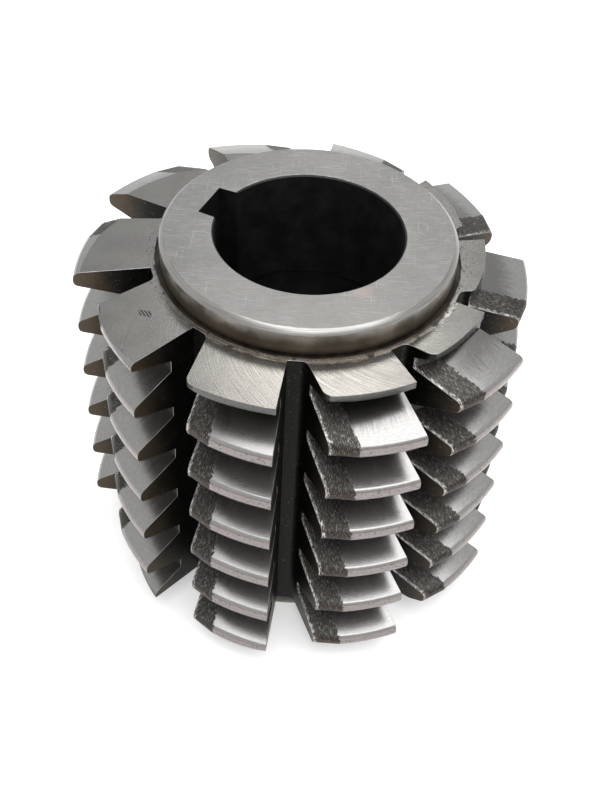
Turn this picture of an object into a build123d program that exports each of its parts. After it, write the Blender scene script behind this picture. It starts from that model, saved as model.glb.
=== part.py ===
from build123d import *

import os
from itertools import product
from math import asin, atan2, ceil, cos, degrees, pi, radians, sin, tan

# Gear hob: a one-piece cutter of high-speed steel with a single right-hand thread.
# Sizes are millimetres and angles are degrees.
# The bore axis is Z, the origin is the centre of the lower boss face, and the keyway faces +Y.
# Seen from above, the cutting faces look counter-clockwise and the thread rises that way.

# Rack that the thread carries
module = 3.25
pressure_angle = 20
lead_angle = 2 + 38 / 60
addendum_factor = 1.25
dedendum_factor = 1.25
crest_round_share = 0.65
tip_round_flats = 2

# Gashes, and the fall of the tooth form behind each cutting edge per tooth pitch.
# The ground flank takes this share of a land, and the steeper unground heel takes the rest.
gash_count = 10
gash_floor_width = 3.2
gash_back_angle = 28
gash_face_corner = 0.5
gash_back_corner = 1.5
gash_clearance = 0.3
ground_relief = 3.3
heel_relief = 6.0
ground_share = 0.7

# Lengths along the bore
overall_length = 71
boss_height = 4.75

# Row at the keyway: its highest crest below the upper end face, and its turn from the keyway
first_crest_depth = 2.53
keyway_to_face_angle = -0.6

# Incomplete threads at both ends, cut back to a blunt edge, and the blank's rounded rim
blunt_edge_thickness = 1.35
blunt_heel_round = 2.0
root_step = 0.3
rim_round_width = 1.05
rim_round_height = 1.3

# Bosses, bore and keyway
boss_diameter = 50
boss_chamfer = 0.85
boss_groove_width = 0.7
boss_groove_depth = 0.3
bore_diameter = 32
bore_chamfer = 0.3
bore_land_length = 21
bore_recess_depth = 0.8
keyway_width = 8
keyway_across = 35
keyway_corner = 0.4

# Thread sizes, worked out from the rack
tip_radius = module / sin(radians(lead_angle)) / 2 + addendum_factor * module
tooth_depth = (addendum_factor + dedendum_factor) * module
root_radius = tip_radius - tooth_depth
axial_pitch = pi * module / cos(radians(lead_angle))
flank_slope = tan(radians(pressure_angle))
tip_half_width = axial_pitch / 4 - addendum_factor * module * flank_slope
root_half_width = tip_half_width + tooth_depth * flank_slope
tip_round_turn = 90 - pressure_angle
tip_round = crest_round_share * tip_half_width / tan(radians(tip_round_turn / 2))

# Rows of teeth: each is one tooth pitch further round and one step further up
tooth_angle = 360 / gash_count
axial_step = axial_pitch / gash_count
upper_end = overall_length - boss_height
toothed_length = upper_end - boss_height
first_crest_level = upper_end - first_crest_depth
first_face_angle = 90 + keyway_to_face_angle

# Gashes reach below the root by the mean of the two reliefs and a clearance
gash_floor_radius = root_radius - (ground_relief + heel_relief) / 2 - gash_clearance
gash_corner_radius = (gash_floor_radius**2 + gash_floor_width**2) ** 0.5
back_turn = tooth_angle - gash_back_angle
back_lean = radians(gash_back_angle)
back_offset = gash_floor_radius * sin(back_lean) - gash_floor_width * cos(back_lean)

# How many times the fall of a point is worked out, and how near its radius an edge is found
relief_steps = 3
radius_match = 0.05

# Stock beyond the finished surfaces, so that every cut runs clear, and a row's depth in the core
overlap = 1.0
row_seat = 4.0
stock_radius = tip_radius + overlap
row_inner_radius = gash_floor_radius - row_seat
crests_above = 1
crests_below = ceil(toothed_length / axial_pitch) + 1
row_top = (crests_above + 0.5) * axial_pitch
row_bottom = -(crests_below + 0.5) * axial_pitch


def polar(radius, angle):
    """Point at a radius and an angle about the bore axis."""
    return (radius * cos(radians(angle)), radius * sin(radians(angle)))


def form_sink(lag):
    """How far the right-hand thread sinks, at an angle behind the cutting edge."""
    return axial_pitch * lag / 360


def section_lag(share, radius):
    """Angle behind the cutting face, at a radius and a share of the way to the inclined back."""
    return share * back_turn + degrees(asin(share * back_offset / radius))


def section_plane(share):
    """Upright plane a share of the way from the cutting face to the back, its local x outwards."""
    x, y = polar(1, -share * back_turn)
    offset = share * back_offset
    return Plane(origin=(offset * y, -offset * x, 0), x_dir=(x, y, 0), z_dir=(y, -x, 0))


def form_fall(share, radius):
    """How far the tooth form lies below its cutting edge, there: ground first, then the heel."""
    ground_lag = section_lag(min(share, ground_share), radius)
    heel_part = section_lag(share, radius) - ground_lag
    return (ground_relief * ground_lag + heel_relief * heel_part) / tooth_angle


def relieved(radius, level, share):
    """A point of the cutting edge, fallen by its relief and carried along the thread to a plane."""
    fallen = radius
    for _ in range(relief_steps):
        fallen = radius - form_fall(share, fallen)
    sunk = level - form_sink(section_lag(share, fallen))
    return ((fallen**2 - (share * back_offset) ** 2) ** 0.5, sunk)


def row_plane(number, level):
    """Level plane of a row of teeth, its local x along the row's cutting face."""
    x, y = polar(1, first_face_angle + number * tooth_angle)
    return Plane(origin=(0, 0, level), x_dir=(x, y, 0), z_dir=(0, 0, 1))


def tip_corner(level, side):
    """Rounded corner of a tooth tip as a few flats, from the crest to the upper or lower flank."""
    centre = level - side * (tip_round / cos(radians(pressure_angle)) - tip_round * flank_slope)
    corner = []
    for number in range(tip_round_flats + 1):
        turn = radians(tip_round_turn * number / tip_round_flats)
        radius = tip_radius - tip_round * (1 - cos(turn))
        corner.append((radius, centre + side * tip_round * sin(turn)))
    return corner


def floor_point(number, along):
    """Point on a gash floor, measured along the floor from its cutting face."""
    radius = (gash_floor_radius**2 + along**2) ** 0.5
    face_angle = first_face_angle + number * tooth_angle
    return polar(radius, face_angle + degrees(atan2(along, gash_floor_radius)))


def radius_of(edge):
    """Distance of an edge's centre from the bore axis."""
    return (edge.center().X ** 2 + edge.center().Y ** 2) ** 0.5


def upright_edges(part, radius):
    """A part's upright edges at a radius."""
    edges = part.edges().filter_by(Axis.Z)
    return edges.filter_by(lambda edge: abs(radius_of(edge) - radius) < radius_match)


def rack_sketch(share):
    """Rack profile of one row of teeth, where an upright plane cuts through the row."""
    edge = [(root_radius, row_bottom)]
    for number in range(-crests_below, crests_above + 1):
        crest = number * axial_pitch
        edge.append((root_radius, crest - root_half_width))
        edge += reversed(tip_corner(crest - tip_half_width, -1))
        edge += tip_corner(crest + tip_half_width, 1)
        edge.append((root_radius, crest + root_half_width))
    edge.append((root_radius, row_top))
    points = [relieved(radius, level, share) for radius, level in edge]
    inner = (row_inner_radius**2 - (share * back_offset) ** 2) ** 0.5
    with BuildSketch(section_plane(share)) as rack:
        with BuildLine():
            Polyline((inner, points[0][1]), *points, (inner, points[-1][1]), close=True)
        make_face()
    return rack.sketch


def land_sketch(face_radius, heel_radius, heel_round=0):
    """End view of one land above its gash floors, its cutting face along x."""
    heel = polar(heel_radius, -section_lag(1, heel_radius))
    crown = polar((face_radius + heel_radius) / 2, -section_lag(1, heel_radius) / 2)
    with BuildSketch() as land:
        with BuildLine():
            Line((gash_corner_radius, 0), (face_radius, 0))
            ThreePointArc((face_radius, 0), crown, heel)
            Polyline(
                heel,
                polar(gash_corner_radius, -section_lag(1, gash_corner_radius)),
                (gash_corner_radius, 0),
            )
        make_face()
        if heel_round:
            fillet(land.vertices().sort_by_distance(heel)[0], heel_round)
    return land.sketch


def blunt_radius(inset, lag):
    """Radius where a thread whose crest lies this far inside the end is just thick enough."""
    missing = blunt_edge_thickness - tip_half_width - inset
    uncut = max(tip_radius - missing / flank_slope, root_radius - root_step)
    return uncut - ground_relief * lag / tooth_angle


# One row of relieved teeth, from its cutting face to its inclined back
with BuildPart() as tooth_row:
    loft([rack_sketch(share) for share in (0, ground_share / 2, ground_share)])
    loft([rack_sketch(ground_share), rack_sketch(1)])

# Turned blank: bosses, end faces and rounded rim, with the toothed stretch left as full stock
with BuildPart() as blank:
    boss_radius = boss_diameter / 2
    groove_radius = boss_radius + boss_groove_width
    rim_start = tip_radius - rim_round_width
    middle = overall_length / 2
    with BuildSketch(Plane.XZ):
        with BuildLine():
            Polyline(
                (0, middle),
                (0, 0),
                (boss_radius - boss_chamfer, 0),
                (boss_radius, boss_chamfer),
                (boss_radius, boss_height + boss_groove_depth),
                (groove_radius, boss_height + boss_groove_depth),
                (groove_radius, boss_height),
                (rim_start, boss_height),
            )
            EllipticalCenterArc(
                (rim_start, boss_height + rim_round_height),
                rim_round_width,
                rim_round_height,
                start_angle=-90,
                arc_size=90,
            )
            Polyline(
                (tip_radius, boss_height + rim_round_height),
                (tip_radius, middle),
                (0, middle),
            )
        make_face()
    revolve(axis=Axis.Z)
    mirror(about=Plane.XY.offset(middle))

# Bore tool: the bore, its recess between two lands, and its edge chamfers
with BuildPart() as bore_tool:
    bore_radius = bore_diameter / 2
    mouth_radius = bore_radius + bore_chamfer
    recess_radius = bore_radius + bore_recess_depth
    with BuildSketch(Plane.XZ):
        with BuildLine():
            Polyline(
                (0, middle),
                (0, -overlap),
                (mouth_radius, -overlap),
                (mouth_radius, 0),
                (bore_radius, bore_chamfer),
                (bore_radius, bore_land_length),
                (recess_radius, bore_land_length + bore_recess_depth),
                (recess_radius, middle),
                close=True,
            )
        make_face()
    revolve(axis=Axis.Z)
    mirror(about=Plane.XY.offset(middle))
    keyway_floor = keyway_across - bore_radius
    with BuildSketch(Plane.XY.offset(-overlap)) as keyway:
        Rectangle(keyway_width, keyway_floor, align=(Align.CENTER, Align.MIN))
        fillet(keyway.vertices().group_by(Axis.Y)[-1], keyway_corner)
    extrude(amount=overall_length + 2 * overlap)

# What is cut off the feather edges of the thread's two ends, where they are too thin
with BuildPart() as feather_edges:
    cut_depth = blunt_edge_thickness + overlap
    for end, inward in ((boss_height, 1), (upper_end, -1)):
        for number, crest in product(range(gash_count), range(-crests_below, crests_above + 1)):
            level = first_crest_level + number * axial_step + crest * axial_pitch
            inset = inward * (level - end)
            if not -root_half_width < inset < blunt_edge_thickness - tip_half_width:
                continue
            face_radius = blunt_radius(inset, 0)
            blunt_heel_lag = section_lag(1, face_radius)
            heel_inset = inset - inward * form_sink(blunt_heel_lag)
            heel_radius = blunt_radius(heel_inset, blunt_heel_lag)
            heel_round = min(blunt_heel_round, (heel_radius - gash_corner_radius) / 2)
            cut_start = min(end - overlap * inward, end + cut_depth * inward)
            with BuildSketch(row_plane(number, cut_start)):
                add(land_sketch(stock_radius, stock_radius))
                add(land_sketch(face_radius, heel_radius, heel_round), mode=Mode.SUBTRACT)
            extrude(amount=cut_depth + overlap)

# The whole hob, from one bar
with BuildPart() as gear_hob:
    row_places = []
    for number in range(gash_count):
        level = first_crest_level + number * axial_step
        turn = first_face_angle + number * tooth_angle
        row_places.append(Location((0, 0, level), (0, 0, turn)))
    with Locations(*row_places):
        add(tooth_row.part)
    with BuildSketch():
        with BuildLine():
            floor_ends = product(range(gash_count), (-overlap, gash_floor_width + overlap))
            Polyline(*(floor_point(number, along) for number, along in floor_ends), close=True)
        make_face()
    extrude(amount=overall_length)
    fillet(upright_edges(gear_hob.part, gash_floor_radius), gash_face_corner)
    fillet(upright_edges(gear_hob.part, gash_corner_radius), gash_back_corner)
    add(blank.part, mode=Mode.INTERSECT)
    add(feather_edges.part, mode=Mode.SUBTRACT)
    add(bore_tool.part, mode=Mode.SUBTRACT)

gear_hob.part.label = "gear_hob"
os.makedirs("parts", exist_ok=True)
export_step(gear_hob.part, "parts/gear_hob.step")
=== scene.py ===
import logging
import math
from dataclasses import dataclass
from enum import IntEnum

import bmesh
import bpy
from mathutils import Euler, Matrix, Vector


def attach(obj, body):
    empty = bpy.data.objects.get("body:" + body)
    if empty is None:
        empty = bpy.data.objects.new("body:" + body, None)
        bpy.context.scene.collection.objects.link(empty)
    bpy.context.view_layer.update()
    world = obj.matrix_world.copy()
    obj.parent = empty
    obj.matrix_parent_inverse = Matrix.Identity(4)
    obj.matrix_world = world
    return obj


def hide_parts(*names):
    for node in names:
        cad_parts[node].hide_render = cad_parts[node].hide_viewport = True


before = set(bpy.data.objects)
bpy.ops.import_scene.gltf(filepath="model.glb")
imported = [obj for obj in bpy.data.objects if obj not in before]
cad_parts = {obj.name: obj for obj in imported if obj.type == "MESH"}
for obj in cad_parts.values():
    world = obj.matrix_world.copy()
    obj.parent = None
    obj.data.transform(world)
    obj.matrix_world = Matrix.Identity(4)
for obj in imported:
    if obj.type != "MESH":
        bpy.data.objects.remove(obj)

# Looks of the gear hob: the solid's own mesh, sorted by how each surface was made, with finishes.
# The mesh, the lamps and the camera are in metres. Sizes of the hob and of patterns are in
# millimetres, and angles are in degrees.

log = logging.getLogger("gear_hob")
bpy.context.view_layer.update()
MM = 0.001


class Surface(IntEnum):
    """How a stretch of the hob was made, in the order of its material slots."""

    BOSS_FACE = 0
    BOSS_EDGE = 1
    BOSS_WALL = 2
    END_FACE = 3
    BORE = 4
    GASH = 5
    FLANK = 6
    TIP = 7
    BLUNT = 8
    EDGE = 9
    # Downward flanks, which carry painted shade.
    UNDER = 10


class Wire:
    """A socket of a material's tree that takes part in sums written in Python."""

    def __init__(self, recipe: "Recipe", socket: bpy.types.NodeSocket) -> None:
        """Holds the tree and the socket."""
        self.recipe = recipe
        self.socket = socket

    def _sum(self, operation: str, *values: "Wire | float") -> "Wire":
        """Adds one Math node.

        Args:
            operation: the Math node's operation.
            values: its inputs in order.

        Returns:
            The node's result.
        """
        return self.recipe.node("Math", {"operation": operation}, dict(enumerate(values)))

    def __add__(self, other: "Wire | float") -> "Wire":
        """This plus the other."""
        return self._sum("ADD", self, other)

    __radd__ = __add__

    def __sub__(self, other: "Wire | float") -> "Wire":
        """This less the other."""
        return self._sum("SUBTRACT", self, other)

    def __rsub__(self, other: float) -> "Wire":
        """The other less this."""
        return self._sum("SUBTRACT", other, self)

    def __mul__(self, other: "Wire | float") -> "Wire":
        """This times the other."""
        return self._sum("MULTIPLY", self, other)

    __rmul__ = __mul__

    def __truediv__(self, other: "Wire | float") -> "Wire":
        """This over the other."""
        return self._sum("DIVIDE", self, other)

    def __rtruediv__(self, other: float) -> "Wire":
        """The other over this."""
        return self._sum("DIVIDE", other, self)

    def __pow__(self, other: float) -> "Wire":
        """This to a power."""
        return self._sum("POWER", self, other)

    def fraction(self) -> "Wire":
        """What is left after the whole number."""
        return self._sum("FRACT", self)

    def size(self) -> "Wire":
        """Its value without the sign."""
        return self._sum("ABSOLUTE", self)

    def most(self, other: "Wire | float") -> "Wire":
        """The larger of the two."""
        return self._sum("MAXIMUM", self, other)

    def arc(self) -> "Wire":
        """The angle in degrees that has this sine."""
        return self._sum("ARCSINE", self) * math.degrees(1)

    def ramp(self, low: float, high: float) -> "Wire":
        """Eases from 0 at the low value to 1 at the high one.

        Args:
            low: where the result is 0.
            high: where the result is 1, above or below the low value.

        Returns:
            The eased share.
        """
        return self.recipe.node(
            "MapRange",
            {"interpolation_type": "SMOOTHSTEP"},
            {"Value": self, "From Min": low, "From Max": high},
        )


Value = Wire | float | tuple


class Recipe:
    """One material's node tree, built up from values and links."""

    def __init__(self, name: str) -> None:
        """Starts an empty material of that name."""
        self.material = bpy.data.materials.new(name)
        self.material.use_nodes = True
        self.tree = self.material.node_tree
        self.tree.nodes.clear()
        place = self.node("TexCoord", output="Object")
        self.place = self.node("Mapping", inputs={"Vector": place, "Scale": (1 / MM,) * 3})
        parts = self.node("SeparateXYZ", inputs={"Vector": self.place}).socket.node
        self.x, self.y, self.z = (Wire(self, parts.outputs[axis]) for axis in "XYZ")

    def node(
        self,
        kind: str,
        settings: dict[str, object] | None = None,
        inputs: dict[str | int, Value] | None = None,
        output: str | int = 0,
    ) -> Wire:
        """Adds a node, its settings first and then the values or links of its sockets.

        Args:
            kind: the node's type without its ShaderNode prefix.
            settings: the node's own properties, such as a Math node's operation.
            inputs: values or wires by socket name or number.
            output: the socket that the result comes from.

        Returns:
            The chosen output.
        """
        node = self.tree.nodes.new("ShaderNode" + kind)
        for name, value in (settings or {}).items():
            setattr(node, name, value)
        for name, value in (inputs or {}).items():
            socket = node.inputs[name]
            if isinstance(value, Wire):
                self.tree.links.new(value.socket, socket)
            elif socket.type == "RGBA" and len(value) == 3:
                socket.default_value = (*value, 1.0)
            else:
                socket.default_value = value
        return Wire(self, node.outputs[output])

    def blend(self, share: Wire | float, first: Value, second: Value) -> Wire:
        """Mixes two colours.

        Args:
            share: 0 for the first colour and 1 for the second.
            first: a colour.
            second: a colour.

        Returns:
            The mixed colour.
        """
        return self.node("Mix", {"data_type": "RGBA"}, {0: share, 6: first, 7: second}, 2)

    def mix(self, share: Wire, first: Value, second: Value) -> Wire:
        """Mixes two numbers by a share."""
        return self.node("Mix", {"data_type": "FLOAT"}, {0: share, 2: first, 3: second}, 0)

    def vector(self, x: Value, y: Value, z: Value) -> Wire:
        """A vector of three numbers."""
        return self.node("CombineXYZ", inputs={"X": x, "Y": y, "Z": z})

    def noise(
        self, scale: float, detail: float = 3.0, at: Wire | None = None, rough: float = 0.55
    ) -> Wire:
        """Cloudy noise, its scale in cells per millimetre.

        Args:
            scale: cells in each millimetre of the coordinates.
            detail: how many finer layers it has.
            at: the coordinates, or the object's own in millimetres.
            rough: how strong the finer layers are.

        Returns:
            A number around 0.5.
        """
        place = at or self.place
        sockets = {"Vector": place, "Scale": scale, "Detail": detail, "Roughness": rough}
        return self.node("TexNoise", inputs=sockets)

    def scratches(
        self, turn: float, spacing: float, length: float, share: float, soft: float = 0.12
    ) -> Wire:
        """Straight fine scratches across the level faces.

        Args:
            turn: their direction about the bore axis.
            spacing: cells per millimetre across them.
            length: cells per millimetre along them.
            share: how much of the surface stays clear, from 0 to 1.
            soft: how slowly a scratch fades at its sides.

        Returns:
            1 on a scratch and 0 beside it.
        """
        turned = self.node(
            "Mapping",
            {"vector_type": "TEXTURE"},
            {
                "Vector": self.place,
                "Rotation": (0, 0, math.radians(turn)),
                "Scale": (1 / length, 1 / spacing, 1),
            },
        )
        return self.noise(1.0, 2.0, turned, 0.6).ramp(share, share + soft)

    def radius(self) -> Wire:
        """Distance from the bore axis in millimetres."""
        return (self.x * self.x + self.y * self.y) ** 0.5

    def angle(self) -> Wire:
        """Angle about the bore axis in degrees."""
        return self.node("Math", {"operation": "ARCTAN2"}, {0: self.y, 1: self.x}) * math.degrees(1)

    def toward(self, angle: float, low: float, high: float) -> Wire:
        """Eases from 0 to 1 towards one side of the hob.

        Args:
            angle: the side's direction about the bore axis.
            low: cosine of the turn away from it where the result is 0.
            high: cosine where the result is 1.

        Returns:
            The eased share.
        """
        turn = math.radians(angle)
        return ((self.x * math.cos(turn) + self.y * math.sin(turn)) / self.radius()).ramp(low, high)

    def spot(self, at: tuple, reach: float, full: float = 0.4) -> Wire:
        """Soft round patch about a place.

        Args:
            at: the place in millimetres.
            reach: how far the patch reaches.
            full: share of the reach within which it is at its full strength.

        Returns:
            1 at the place and 0 beyond the reach.
        """
        away = self.node("VectorMath", {"operation": "DISTANCE"}, {0: self.place, 1: at}, "Value")
        return away.ramp(reach, reach * full)

    def bump(self, height: Wire, depth: float, strength: float = 1.0) -> Wire:
        """Turns a height pattern into a normal.

        Args:
            height: the pattern, 0 to 1.
            depth: its real depth in millimetres.
            strength: how much of it shows.

        Returns:
            The normal.
        """
        sockets = {"Height": height, "Distance": depth * MM, "Strength": strength}
        return self.node("Bump", inputs=sockets)

    def finish(
        self, colour: Value, roughness: Value, metallic: Value, normal: Wire
    ) -> bpy.types.Material:
        """Closes the tree with a Principled shader.

        Args:
            colour: base colour.
            roughness: roughness.
            metallic: share of bare metal.
            normal: the normal that the surface's relief gives.

        Returns:
            The material.
        """
        sockets = {
            "Base Color": colour,
            "Roughness": roughness,
            "Metallic": metallic,
            "Normal": normal,
        }
        return self.close(self.node("BsdfPrincipled", inputs=sockets))

    def close(self, surface: Wire) -> bpy.types.Material:
        """Joins the surface to the material's output."""
        out = self.tree.nodes.new("ShaderNodeOutputMaterial")
        self.tree.links.new(surface.socket, out.inputs["Surface"])
        return self.material


@dataclass(frozen=True)
class HobForm:
    """Sizes of the hob that its surfaces are told apart by, in millimetres and degrees."""

    length: float = 71.0
    boss_height: float = 4.75
    boss_radius: float = 25.0
    groove_width: float = 0.7
    bore_radius: float = 17.3
    keyway_half_width: float = 4.1
    keyway_reach: float = 19.2
    floor_reach: float = 28.4
    root_radius: float = 31.3
    tip_radius: float = 39.43
    tip_round: float = 1.1
    gashes: int = 10
    first_face: float = 89.4
    ground_share: float = 0.7
    back_turn: float = 8.0
    back_offset: float = 9.55
    ground_relief: float = 3.3
    heel_relief: float = 6.0
    blunt_depth: float = 2.4
    axial_pitch: float = 10.221
    flank_slope: float = 0.36397
    burr_side: float = -147.0

    @property
    def pitch(self) -> float:
        """Angle from one cutting face to the next."""
        return 360.0 / self.gashes

    def lag(self, angle: float) -> float:
        """Angle behind the nearest cutting face ahead."""
        return (self.first_face - angle) % self.pitch

    def section_lag(self, share: float, radius: float) -> float:
        """Lag of the plane that is a share of the way to the inclined back."""
        return share * self.back_turn + math.degrees(math.asin(share * self.back_offset / radius))

    def fall(self, lag: float) -> float:
        """How far the tooth form has fallen at a lag."""
        land = self.section_lag(self.ground_share, self.tip_radius)
        ground = min(lag, land) * self.ground_relief
        heel = max(lag - land, 0.0) * self.heel_relief
        return (ground + heel) / self.pitch

    def flank_normal(self, point: Vector, upper: bool, heel: bool) -> Vector:
        """Direction that a tooth flank faces.

        Args:
            point: where, in any unit.
            upper: whether the flank looks up.
            heel: whether the point is on the heel left rough.

        Returns:
            The unit normal.
        """
        outward = Vector((point.x, point.y, 0)).normalized()
        forward = Vector((-outward.y, outward.x, 0))
        radius = math.hypot(point.x, point.y) / MM
        relief = math.degrees(self.heel_relief if heel else self.ground_relief) / self.pitch
        up = 1 if upper else -1
        turn = -(up * self.axial_pitch / math.tau + self.flank_slope * relief) / radius
        return (outward * self.flank_slope + forward * turn + Vector((0, 0, up))).normalized()


def shade(colour: tuple, share: float) -> tuple:
    """The colour, darkened or lightened by a share."""
    return tuple(channel * share for channel in colour)


class HobRecipe(Recipe):
    """A material's tree that also knows the hob's form."""

    def __init__(self, name: str, form: HobForm) -> None:
        """Starts an empty material for the hob."""
        super().__init__(name)
        self.form = form

    def lag(self) -> Wire:
        """Angle behind the nearest cutting face ahead."""
        pitch = self.form.pitch
        return ((self.form.first_face - self.angle()) / pitch).fraction() * pitch

    def behind(self, share: float) -> Wire:
        """How many degrees a point lies behind the plane at a share of the way to the back."""
        line = (share * self.form.back_offset / self.radius()).arc() + share * self.form.back_turn
        return self.lag() - line


@dataclass(frozen=True)
class Satin:
    """Ground level face with fine scratches that cross each other."""

    name: str = "boss_face"
    colour: tuple = (0.215, 0.217, 0.213)
    scratch: tuple = (0.48, 0.48, 0.465)
    roughness: float = 0.38
    rust: tuple = (0.36, 0.27, 0.26)
    rust_at: tuple = (-10.2, -14.1, 71.0)
    rust_reach: float = 2.2
    rust_strength: float = 0.4
    mottle_strength: float = 0.28
    scratch_strength: float = 0.32
    grain_strength: float = 0.35
    relief_depth: float = 0.004
    relief_strength: float = 0.8
    # Each set: direction, cells per millimetre across and along, share of the face left clear.
    scratch_sets: tuple = (
        (112, 4.0, 0.16, 0.57),
        (126, 3.4, 0.2, 0.58),
        (84, 4.4, 0.22, 0.60),
        (22, 3.0, 0.14, 0.61),
    )

    def build(self, form: HobForm) -> bpy.types.Material:
        """The material."""
        recipe = HobRecipe(self.name, form)
        marks = recipe.scratches(*self.scratch_sets[0])
        for scratch_set in self.scratch_sets[1:]:
            marks = marks + recipe.scratches(*scratch_set)
        cloud = recipe.noise(0.12, 3.0)
        tone = recipe.blend(cloud.ramp(0.35, 0.7), shade(self.colour, 0.86), self.colour)
        rust = recipe.spot(self.rust_at, self.rust_reach) * self.rust_strength
        tone = recipe.blend(rust, tone, self.rust)
        mottle = recipe.noise(0.7, 4.0, rough=0.7).ramp(0.35, 0.65) * self.mottle_strength
        tone = recipe.blend(mottle, tone, shade(self.colour, 0.65))
        tone = recipe.blend(marks * self.scratch_strength, tone, self.scratch)
        grain = recipe.noise(6.0, 2.0)
        pores = grain.ramp(0.4, 0.75) * self.grain_strength
        tone = recipe.blend(pores, tone, shade(self.colour, 0.55))
        rough = recipe.noise(0.5, 4.0) * 0.05 + (self.roughness - 0.03) + marks * 0.08
        relief = recipe.bump(marks + grain * 0.3, self.relief_depth, self.relief_strength)
        return recipe.finish(tone, rough, 1.0, relief)


@dataclass(frozen=True)
class TurnedEdge:
    """Chamfer of the boss, turned with fine rings."""

    name: str = "boss_edge"
    colour: tuple = (0.33, 0.325, 0.31)
    roughness: float = 0.3
    ring_depth: float = 0.004

    def build(self, form: HobForm) -> bpy.types.Material:
        """The material."""
        recipe = HobRecipe(self.name, form)
        drawn = recipe.vector(recipe.radius() * 9.0, recipe.angle() * 0.05, 0.0)
        rings = recipe.noise(1.0, 2.0, drawn)
        tone = recipe.blend(rings.ramp(0.3, 0.7), shade(self.colour, 0.65), self.colour)
        return recipe.finish(tone, self.roughness, 1.0, recipe.bump(rings, self.ring_depth))


@dataclass(frozen=True)
class WallWithPaintedReflection:
    """Boss wall, turned, browner towards its foot by painted reflection, smudged, with grime in the
    corner.
    """

    name: str = "boss_wall"
    colour: tuple = (0.25, 0.232, 0.205)
    # Brown of the painted reflection at the foot; darker, it also colours the smudges.
    reflected_brown_and_smudge: tuple = (0.072, 0.058, 0.041)
    grime: tuple = (0.022, 0.018, 0.014)
    reflection_full: float = 1.6
    reflection_end: float = 3.9
    reflection_wander: float = 3.2
    smudge_strength: float = 0.6
    grime_height: float = 0.5
    grime_wander: float = 0.6
    roughness: float = 0.28
    metallic: float = 0.8
    ring_depth: float = 0.003

    def build(self, form: HobForm) -> bpy.types.Material:
        """The material."""
        recipe = HobRecipe(self.name, form)
        middle = form.length / 2
        height = (recipe.z - middle).size() - (middle - form.boss_height)
        # Painted reflection of the end face below: darker and browner towards the foot.
        cloud = recipe.noise(0.22, 4.0)
        wander = (cloud - 0.5) * self.reflection_wander
        foot = (height + wander).ramp(self.reflection_end, self.reflection_full)
        smudge = recipe.noise(0.16, 2.0, rough=0.4).ramp(0.5, 0.62) * self.smudge_strength
        tone = recipe.blend(foot, self.colour, self.reflected_brown_and_smudge)
        tone = recipe.blend(smudge, tone, shade(self.reflected_brown_and_smudge, 0.7))
        wander = (recipe.noise(0.9, 4.0) - 0.5) * self.grime_wander
        grime = (height + wander).ramp(self.grime_height, 0.0)
        grime = grime * (recipe.noise(0.3, 3.0).ramp(0.4, 0.6) * 0.5 + 0.5)
        tone = recipe.blend(grime, tone, self.grime)
        drawn = recipe.vector(recipe.z * 12.0, recipe.angle() * 0.04, 0.0)
        rings = recipe.noise(1.0, 2.0, drawn)
        rough = rings * 0.1 + self.roughness + foot * 0.15
        return recipe.finish(tone, rough, self.metallic, recipe.bump(rings, self.ring_depth))


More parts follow.
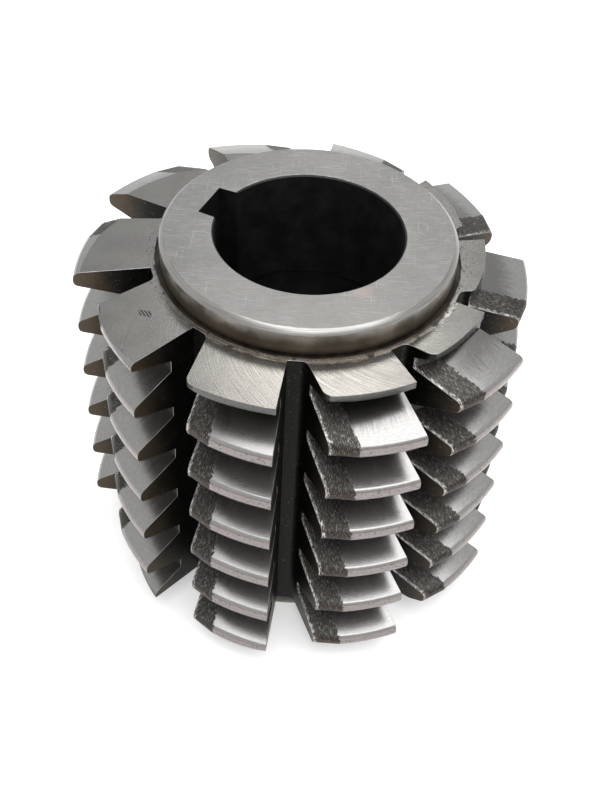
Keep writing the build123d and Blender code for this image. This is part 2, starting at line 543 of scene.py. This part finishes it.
@dataclass(frozen=True)
class FannedFace:
    """End face of the thread, ground with lines that fan out in arcs, grimy round the boss.

    Each pair of sizes is where a pattern has faded out and where it is full.
    """

    name: str = "end_face"
    colour: tuple = (0.205, 0.204, 0.195)
    burr: tuple = (0.93, 0.88, 0.81)
    grime: tuple = (0.012, 0.010, 0.008)
    roughness: float = 0.19
    line_strength: float = 0.3
    cloud_strength: float = 0.12
    relief_depth: float = 0.005
    relief_strength: float = 0.5
    strokes_at: tuple = (-25.9, 16.6, 66.2)
    strokes_turn: float = 62.0
    strokes_across: tuple = (1.1, 1.0)
    strokes_along: tuple = (0.85, 0.6)
    strokes_up: tuple = (1.0, 0.5)
    strokes_lean: float = 0.3
    nick_at: tuple = (-34.9, 15.35, 66.25)
    nick_reach: float = 0.5
    burr_radius: float = 26.5
    burr_half_width: tuple = (0.62, 0.15)
    burr_turn: tuple = (0.45, 0.95)
    ring_radii: tuple = (27.4, 26.4)
    ring_side: float = 25.0
    ring_turn: tuple = (0.5, 0.9)
    ring_strength: float = 0.6
    soil_radii: tuple = (26.05, 25.75)
    fleck_radii: tuple = (28.4, 26.2)
    wander: float = 3.0

    def strokes(self, recipe: HobRecipe) -> Wire:
        """Four short dark strokes side by side on one end face.

        Args:
            recipe: the material's tree.

        Returns:
            1 on a stroke and 0 elsewhere.
        """
        shift = tuple(-part for part in self.strokes_at)
        moved = recipe.node("Mapping", inputs={"Vector": recipe.place, "Location": shift})
        turn = (0, 0, math.radians(self.strokes_turn))
        turned = recipe.node("Mapping", inputs={"Vector": moved, "Rotation": turn})
        parts = recipe.node("SeparateXYZ", inputs={"Vector": turned}).socket.node
        across, along, up = (Wire(recipe, parts.outputs[axis]) for axis in "XYZ")
        near = across.size().ramp(*self.strokes_across)
        near = near * (along + across * self.strokes_lean).size().ramp(*self.strokes_along)
        near = near * up.size().ramp(*self.strokes_up)
        wave = ((across + along * 0.5) * 1.9).fraction() - 0.5
        return wave.size().ramp(0.42, 0.2) * near * recipe.noise(2.0, 2.0).ramp(0.25, 0.38)

    def build(self, form: HobForm) -> bpy.types.Material:
        """The material."""
        recipe = HobRecipe(self.name, form)
        radius = recipe.radius()
        sweep = recipe.angle() - radius * 1.8
        drawn = recipe.vector(sweep * 2.4, radius * 0.06, 0.0)
        lines = recipe.noise(1.0, 4.0, drawn, 0.65).ramp(0.3, 0.72)
        tone = recipe.blend(lines * self.line_strength, self.colour, shade(self.colour, 0.4))
        cloud = recipe.noise(0.2, 3.0).ramp(0.4, 0.7)
        tone = recipe.blend(cloud * self.cloud_strength, tone, self.grime)
        drawn = recipe.vector(recipe.angle() * 0.14, radius * 2.2, 0.0)
        ragged = (recipe.noise(1.0, 5.0, drawn, 0.7) - 0.5) * self.wander
        broken = recipe.noise(0.3, 3.0).ramp(0.34, 0.47)
        broken = broken * recipe.toward(form.burr_side, *self.burr_turn)
        burr = (radius + ragged * 0.7 - self.burr_radius).size().ramp(*self.burr_half_width)
        burr = burr * broken
        tone = recipe.blend(burr, tone, self.burr)
        drawn = recipe.vector(recipe.angle() * 0.03, radius * 5.0, 0.0)
        rings = recipe.noise(1.0, 2.0, drawn, 0.6).ramp(0.48, 0.6)
        near = recipe.toward(form.burr_side - self.ring_side, *self.ring_turn)
        near = radius.ramp(*self.ring_radii) * near
        tone = recipe.blend(rings * near * self.ring_strength, tone, shade(self.burr, 0.6))
        patches = recipe.noise(0.45, 3.0).ramp(0.4, 0.55) * 0.7 + 0.3
        soil = (radius + ragged * 0.5).ramp(*self.soil_radii) * patches
        drawn = recipe.vector(recipe.angle() * 0.45, radius * 2.2, 1.0)
        flecks = recipe.noise(1.0, 4.0, drawn, 0.7).ramp(0.57, 0.61)
        flecks = flecks * radius.ramp(*self.fleck_radii)
        dirt = soil + flecks * (1.0 - soil)
        nick = recipe.spot(self.nick_at, self.nick_reach) * 0.5
        dirt = dirt.most(self.strokes(recipe)).most(nick)
        tone = recipe.blend(dirt, tone, self.grime)
        rough = lines * 0.1 + self.roughness + dirt * 0.35
        relief = recipe.bump(lines + burr * 0.5, self.relief_depth, self.relief_strength)
        return recipe.finish(tone, rough, 1.0 - dirt * 0.8, relief)


@dataclass(frozen=True)
class HardenedDark:
    """Steel darkened by hardening and by painted shade, browner towards the tips, with specks."""

    name: str = "gash"
    # Near-black of the gash depth: dark hardened steel, darkened further as painted shade.
    colour: tuple = (0.0060, 0.0060, 0.0048)
    outer: tuple = (0.070, 0.053, 0.035)
    roughness: float = 0.42
    speck: float = 0.66
    speck_tone: tuple = (0.26, 0.24, 0.21)
    speck_strength: float = 0.4
    tint_wander: float = 4.0
    metallic: float = 0.8
    relief_depth: float = 0.01
    relief_strength: float = 0.4

    def build(self, form: HobForm) -> bpy.types.Material:
        """The material."""
        recipe = HobRecipe(self.name, form)
        cloud = recipe.noise(0.3, 5.0)
        wander = (cloud - 0.5) * self.tint_wander
        # Painted shade: darkest deep in the gash, lightening to brown towards the tips.
        out = (recipe.radius() + wander).ramp(form.root_radius - 1.0, form.tip_radius)
        specks = recipe.noise(2.4, 2.0).ramp(self.speck, self.speck + 0.06) * self.speck_strength
        tone = recipe.blend(cloud.ramp(0.35, 0.7), shade(self.colour, 0.6), self.colour)
        tone = recipe.blend(out, tone, self.outer)
        tone = recipe.blend(specks, tone, self.speck_tone)
        rough = cloud * 0.2 + (self.roughness - 0.1)
        relief = recipe.bump(cloud, self.relief_depth, self.relief_strength)
        return recipe.finish(tone, rough, self.metallic, relief)


@dataclass(frozen=True)
class ReliefGround:
    """Tooth flank: mirror-bright where ground, dark and striated on the rough heel, painted shade
    at root.

    Each pair of sizes is where a pattern has faded out and where it is full. Its lags are degrees
    behind the plane where the grinding ends, or behind the back of the tooth.
    """

    name: str = "flank"
    bright: tuple = (0.31, 0.307, 0.298)
    # Dark tone of the rough heel, also the colour of the painted shade at the root.
    heel_and_root_shade_tone: tuple = (0.040, 0.0385, 0.035)
    chip: tuple = (0.68, 0.66, 0.63)
    ragged: float = 2.6
    specks: float = 0.0
    # Painted shade towards the tooth root, in streaks, between these radii.
    root_shade_radii: tuple = (36.5, 32.5)
    root_shade_wander: float = 6.0
    root_shade_strength: float = 0.5
    heel_lags: tuple = (-0.15, 0.15)
    chip_lags: tuple = (-1.1, -0.4)
    polish: float = 0.17
    heel_roughness: float = 0.38
    relief_depth: float = 0.02
    relief_strength: float = 0.6

    def build(self, form: HobForm) -> bpy.types.Material:
        """The material."""
        recipe = HobRecipe(self.name, form)
        angle, radius = recipe.angle(), recipe.radius()
        torn = (recipe.noise(1.8, 4.0) - 0.5) * self.ragged
        heel = (recipe.behind(form.ground_share) + torn).ramp(*self.heel_lags)
        drawn = recipe.vector(angle * 0.5, radius * 7.0, recipe.z * 7.0)
        grain = recipe.noise(1.0, 4.0, drawn, 0.7)
        drawn = recipe.vector(angle * 5.5, radius * 1.4, recipe.z * 1.8)
        rough = recipe.noise(1.0, 4.0, drawn, 0.75)
        clean = recipe.blend(grain.ramp(0.35, 0.7), shade(self.bright, 0.82), self.bright)
        # Painted shade: the flank darkens towards the tooth root, under the slice above.
        drawn = recipe.vector(angle * 1.6, radius * 0.25, recipe.z * 0.25)
        streaks = recipe.noise(1.0, 4.0, drawn, 0.65) - 0.5
        root_shade = (radius + streaks * self.root_shade_wander).ramp(*self.root_shade_radii)
        clean = recipe.blend(root_shade * self.root_shade_strength, clean, self.heel_and_root_shade_tone)
        spots = recipe.noise(2.2, 3.0, rough=0.65).ramp(0.56, 0.64) * self.specks
        clean = recipe.blend(spots, clean, shade(self.heel_and_root_shade_tone, 1.5))
        ridge_tone = shade(self.heel_and_root_shade_tone, 7.0)
        dark = recipe.blend(rough.ramp(0.5, 0.7), self.heel_and_root_shade_tone, ridge_tone)
        chips = (recipe.behind(1.0) + torn * 0.8).ramp(*self.chip_lags) * rough.ramp(0.46, 0.6)
        dark = recipe.blend(chips, dark, self.chip)
        height = recipe.mix(heel, grain * 0.12, rough)
        gloss = recipe.mix(heel, grain * 0.12 + self.polish, rough * 0.2 + self.heel_roughness)
        relief = recipe.bump(height, self.relief_depth, self.relief_strength)
        return recipe.finish(recipe.blend(heel, clean, dark), gloss, 1.0, relief)


@dataclass(frozen=True)
class TipLand(ReliefGround):
    """Tooth tip, speckled, its warm pink tint painted reflection of brown surroundings."""

    name: str = "tip"
    # Warm pink tint: painted reflection of brown surroundings.
    bright: tuple = (0.28, 0.252, 0.243)
    heel_and_root_shade_tone: tuple = (0.034, 0.029, 0.025)
    specks: float = 0.6


@dataclass(frozen=True)
class BluntEdge:
    """Wall of a thread end that was cut back by hand grinding."""

    name: str = "blunt_edge"
    colour: tuple = (0.145, 0.144, 0.137)
    roughness: float = 0.3
    line_depth: float = 0.01

    def build(self, form: HobForm) -> bpy.types.Material:
        """The material."""
        recipe = HobRecipe(self.name, form)
        drawn = recipe.vector(recipe.angle() * 1.2, recipe.z * 6.0, 0.0)
        lines = recipe.noise(1.0, 3.0, drawn)
        tone = recipe.blend(lines.ramp(0.35, 0.7), shade(self.colour, 0.6), self.colour)
        relief = recipe.bump(lines, self.line_depth)
        return recipe.finish(tone, lines * 0.2 + self.roughness, 1.0, relief)


@dataclass(frozen=True)
class WornEdge:
    """Narrow bright line where an edge is worn, broken by darker stretches."""

    name: str = "worn_edge"
    colour: tuple = (0.38, 0.375, 0.362)
    dark: tuple = (0.20, 0.197, 0.187)
    roughness: float = 0.36
    relief_depth: float = 0.01
    relief_strength: float = 0.5

    def build(self, form: HobForm) -> bpy.types.Material:
        """The material."""
        recipe = HobRecipe(self.name, form)
        stretches = recipe.noise(0.4, 4.0, rough=0.65).ramp(0.42, 0.7)
        tone = recipe.blend(stretches, self.dark, self.colour)
        relief = recipe.bump(stretches, self.relief_depth, self.relief_strength)
        return recipe.finish(tone, stretches * -0.1 + self.roughness, 1.0, relief)


@dataclass
class HobBody:
    """The one-piece cutter: a merged copy of the solid's mesh with a finish for each surface.

    Lengths are in millimetres and angles in degrees. The values level, sloping and upright are
    heights of a face's unit normal, and outside gash_lags a steep wall belongs to a gash.
    """

    form: HobForm
    weld: float = 0.002
    flat: float = 0.3
    crease: float = 40.0
    edge_width: float = 0.05
    shortest: float = 0.1
    steepest_tip: float = 0.6
    alike: float = 0.985
    wall_area: float = 100.0
    level: float = 0.99
    sloping: float = 0.3
    upright: float = 0.02
    near: float = 0.02
    slack: float = 0.01
    keyway_corner: float = 0.5
    groove_depth: float = 0.6
    gash_lags: tuple[float, float] = (1.0, 22.0)
    gash_outward: float = 0.9
    floor_height: float = 1.0
    tip_margin: float = 0.3
    bore_finish: HardenedDark = HardenedDark(
        "bore", (0.032, 0.033, 0.032), (0.032, 0.033, 0.032), 0.5, 0.72
    )
    # Downward flanks: ground like the upper ones, made much darker as painted shade.
    under_shaded_finish: ReliefGround = ReliefGround("under_flank_painted_shade", (0.09, 0.087, 0.08), ragged=0.8)

    def surface_of(self, face: bmesh.types.BMFace) -> Surface:
        """Tells how a face was made.

        Args:
            face: a face of the hob.

        Returns:
            Its surface.
        """
        form = self.form
        centre = face.calc_center_median() / MM
        normal = face.normal
        radius = math.hypot(centre.x, centre.y)
        from_end = min(centre.z, form.length - centre.z)
        level = abs(normal.z) > self.level
        if level and from_end < self.near:
            return Surface.BOSS_FACE
        in_keyway = abs(centre.x) < form.keyway_half_width and 0 < centre.y < form.keyway_reach
        in_keyway = in_keyway and radius < form.keyway_reach + self.keyway_corner
        if radius < form.bore_radius or in_keyway:
            return Surface.BORE
        beyond_edge = from_end >= form.boss_height - self.slack
        if not beyond_edge and radius < form.boss_radius + self.slack:
            return Surface.BOSS_EDGE if abs(normal.z) > self.sloping else Surface.BOSS_WALL
        groove_floor = form.boss_height + self.groove_depth
        if radius < form.boss_radius + form.groove_width and from_end < groove_floor:
            return Surface.BOSS_WALL
        if level and abs(from_end - form.boss_height) < self.near:
            return Surface.END_FACE
        lag = form.lag(math.degrees(math.atan2(centre.y, centre.x)))
        fallen_tip = form.tip_radius - form.fall(lag)
        if abs(normal.z) < self.upright:
            outward = Vector((centre.x, centre.y, 0)).normalized().dot(normal)
            first, last = self.gash_lags
            wall = outward < self.gash_outward and not first <= lag <= last
            corner = outward < self.level and radius < form.floor_reach
            if wall or corner or radius < form.floor_reach - self.floor_height:
                return Surface.GASH
            at_thread_end = from_end < form.boss_height + form.blunt_depth
            if at_thread_end and radius < fallen_tip - self.tip_margin:
                return Surface.BLUNT
        if radius > fallen_tip - form.tip_round and abs(normal.z) < self.steepest_tip:
            return Surface.TIP
        return Surface.FLANK if normal.z > 0 else Surface.UNDER

    def sharp(self, edge: bmesh.types.BMEdge) -> bool:
        """Whether the surface turns hard at an edge."""
        return math.degrees(edge.calc_face_angle(0.0)) > self.crease

    def worn(self, edge: bmesh.types.BMEdge) -> bool:
        """Whether an edge is an outer corner with a worn line, which the bore has none of."""
        inside = all(face.material_index == Surface.BORE for face in edge.link_faces)
        return self.sharp(edge) and edge.is_convex and not inside

    def true_normals(self, mesh: bpy.types.Mesh) -> None:
        """Gives the flanks and the flat walls their exact normals, so that they mirror cleanly.

        Args:
            mesh: the finished mesh.
        """
        form = self.form
        normals = [Vector()] * len(mesh.loops)
        for face in mesh.polygons:
            surface = face.material_index
            flat_gash = surface == Surface.GASH and face.area > self.wall_area * MM**2
            if flat_gash or surface in (Surface.BOSS_FACE, Surface.END_FACE):
                for loop in face.loop_indices:
                    normals[loop] = face.normal.copy()
            if surface not in (Surface.FLANK, Surface.UNDER):
                continue
            centre = face.center / MM
            lag = form.lag(math.degrees(math.atan2(centre.y, centre.x)))
            heel = lag > form.section_lag(form.ground_share, math.hypot(centre.x, centre.y))
            for loop in face.loop_indices:
                point = mesh.vertices[mesh.loops[loop].vertex_index].co
                normal = form.flank_normal(point, surface == Surface.FLANK, heel)
                if normal.dot(face.normal) > self.alike:
                    normals[loop] = normal
        mesh.normals_split_custom_set(normals)

    def build(self) -> bpy.types.Object:
        """Makes the piece.

        Returns:
            The finished object, which stands for the solid.
        """
        work = bmesh.new()
        work.from_mesh(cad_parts["gear_hob"].data)
        bmesh.ops.remove_doubles(work, verts=work.verts, dist=self.weld * MM)
        for face in work.faces:
            face.material_index = self.surface_of(face)
        flat_surfaces = {Surface.BOSS_FACE, Surface.END_FACE, Surface.GASH}
        within_flats = [
            edge
            for edge in work.edges
            if {face.material_index for face in edge.link_faces} <= flat_surfaces
        ]
        bmesh.ops.dissolve_limit(
            work,
            angle_limit=math.radians(self.flat),
            edges=within_flats,
            delimit={"MATERIAL"},
        )
        bmesh.ops.dissolve_degenerate(work, dist=self.shortest * MM, edges=work.edges)
        bmesh.ops.bevel(
            work,
            geom=[edge for edge in work.edges if self.worn(edge)],
            offset=self.edge_width * MM,
            offset_type="OFFSET",
            segments=1,
            affect="EDGES",
            clamp_overlap=False,
            material=Surface.EDGE,
        )
        for face in work.faces:
            face.smooth = True
        for edge in work.edges:
            edge.smooth = not self.sharp(edge)
        mesh = bpy.data.meshes.new("hob_body")
        work.to_mesh(mesh)
        work.free()
        self.true_normals(mesh)
        piece = bpy.data.objects.new("hob_body", mesh)
        bpy.context.scene.collection.objects.link(piece)
        finishes = {
            Surface.BOSS_FACE: Satin(),
            Surface.BOSS_EDGE: TurnedEdge(),
            Surface.BOSS_WALL: WallWithPaintedReflection(),
            Surface.END_FACE: FannedFace(),
            Surface.BORE: self.bore_finish,
            Surface.GASH: HardenedDark(),
            Surface.FLANK: ReliefGround(),
            Surface.TIP: TipLand(),
            Surface.BLUNT: BluntEdge(),
            Surface.EDGE: WornEdge(),
            Surface.UNDER: self.under_shaded_finish,
        }
        for surface in Surface:
            mesh.materials.append(finishes[surface].build(self.form))
        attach(piece, "root")
        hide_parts("gear_hob")
        return piece


@dataclass(frozen=True)
class SoftBox:
    """A soft rectangular lamp that faces the hob."""

    name: str
    azimuth: float
    elevation: float
    distance: float
    size: tuple[float, float]
    brightness: float
    colour: tuple[float, float, float] = (1.0, 1.0, 1.0)

    def build(self, target: Vector) -> None:
        """Places the lamp around the target."""
        data = bpy.data.lights.new(self.name, "AREA")
        data.shape = "RECTANGLE"
        data.size, data.size_y = self.size
        data.energy = self.brightness * math.pi * self.size[0] * self.size[1]
        data.color = self.colour
        lamp = bpy.data.objects.new(self.name, data)
        bpy.context.scene.collection.objects.link(lamp)
        azimuth, elevation = math.radians(self.azimuth), math.radians(self.elevation)
        level = math.cos(elevation)
        along, across = level * math.cos(azimuth), level * math.sin(azimuth)
        direction = Vector((along, across, math.sin(elevation)))
        lamp.location = target + direction * self.distance
        lamp.rotation_euler = direction.to_track_quat("Z", "Y").to_euler()
        lamp.visible_camera = False


@dataclass
class Studio:
    """Floor, lamps, surroundings and the camera at the photograph's view."""

    middle: Vector
    camera_at: tuple[float, float, float] = (-0.148816, -0.062251, 0.193594)
    camera_turn: tuple[float, float, float] = (44.7527, -2.3015, -64.9912)
    camera_lens: float = 36.26
    camera_film: float = 24.0
    camera_near: float = 0.01
    floor_size: float = 6.0
    floor_colour: tuple[float, float, float] = (0.8, 0.8, 0.8)
    floor_roughness: float = 0.9
    floor_glow: float = 0.35
    sky_strength: float = 0.8
    lamps: tuple[SoftBox, ...] = (
        SoftBox("window", -130.0, 75.0, 1.0, (1.2, 1.2), 2.7),
        SoftBox("pane", 20.5, 46.5, 1.0, (0.18, 0.18), 7.0, (1.0, 0.95, 0.9)),
    )

    def build_camera(self) -> None:
        """Sets the camera that the photograph was matched with."""
        data = bpy.data.cameras.new("photo_view")
        data.sensor_fit = "VERTICAL"
        data.sensor_height = self.camera_film
        data.lens = self.camera_lens
        data.clip_start = self.camera_near
        camera = bpy.data.objects.new("photo_view", data)
        bpy.context.scene.collection.objects.link(camera)
        camera.location = self.camera_at
        camera.rotation_euler = Euler([math.radians(turn) for turn in self.camera_turn], "XYZ")
        bpy.context.scene.camera = camera

    def build_floor(self) -> None:
        """Lays the pale floor under the hob, which looks white but lights as a grey one."""
        work = bmesh.new()
        bmesh.ops.create_grid(work, x_segments=1, y_segments=1, size=self.floor_size / 2)
        mesh = bpy.data.meshes.new("floor")
        work.to_mesh(mesh)
        work.free()
        floor = bpy.data.objects.new("floor", mesh)
        bpy.context.scene.collection.objects.link(floor)
        recipe = Recipe("floor")
        rays = recipe.node("LightPath").socket.node
        seen = Wire(recipe, rays.outputs["Is Camera Ray"])
        for kind in ("Is Glossy Ray", "Is Transmission Ray"):
            seen = seen.most(Wire(recipe, rays.outputs[kind]))
        sockets = {"Base Color": self.floor_colour, "Roughness": self.floor_roughness}
        paper = recipe.node("BsdfPrincipled", inputs=sockets)
        sockets = {"Color": (1.0, 1.0, 1.0), "Strength": self.floor_glow}
        glow = recipe.node("Emission", inputs=sockets)
        both = recipe.node("AddShader", inputs={0: paper, 1: glow})
        surface = recipe.node("MixShader", inputs={0: seen, 1: paper, 2: both})
        mesh.materials.append(recipe.close(surface))

    def build_sky(self) -> None:
        """Fills the surroundings with a soft even light, white to the camera."""
        world = bpy.data.worlds.new("studio")
        bpy.context.scene.world = world
        world.use_nodes = True
        tree = world.node_tree
        tree.nodes.clear()
        rays = tree.nodes.new("ShaderNodeLightPath")
        even = tree.nodes.new("ShaderNodeBackground")
        even.inputs["Color"].default_value = (1.0, 1.0, 1.0, 1.0)
        even.inputs["Strength"].default_value = self.sky_strength
        white = tree.nodes.new("ShaderNodeBackground")
        white.inputs["Color"].default_value = (1.0, 1.0, 1.0, 1.0)
        mix = tree.nodes.new("ShaderNodeMixShader")
        out = tree.nodes.new("ShaderNodeOutputWorld")
        seen = rays.outputs["Is Camera Ray"]
        for kind in ("Is Glossy Ray", "Is Transmission Ray"):
            either = tree.nodes.new("ShaderNodeMath")
            either.operation = "MAXIMUM"
            tree.links.new(seen, either.inputs[0])
            tree.links.new(rays.outputs[kind], either.inputs[1])
            seen = either.outputs[0]
        tree.links.new(seen, mix.inputs[0])
        tree.links.new(even.outputs[0], mix.inputs[1])
        tree.links.new(white.outputs[0], mix.inputs[2])
        tree.links.new(mix.outputs[0], out.inputs["Surface"])

    def build(self) -> None:
        """Builds the whole studio."""
        self.build_camera()
        self.build_floor()
        self.build_sky()
        for lamp in self.lamps:
            lamp.build(self.middle)


def main() -> None:
    """Builds the hob and its studio."""
    logging.basicConfig(level=logging.INFO, format="%(name)s: %(message)s")
    scene = bpy.context.scene
    scene.view_settings.view_transform = "Standard"
    form = HobForm()
    body = HobBody(form).build()
    log.info("hob_body has %d faces", len(body.data.polygons))
    Studio(Vector((0.0, 0.0, form.length * MM / 2))).build()


if __name__ == "__main__":
    main()
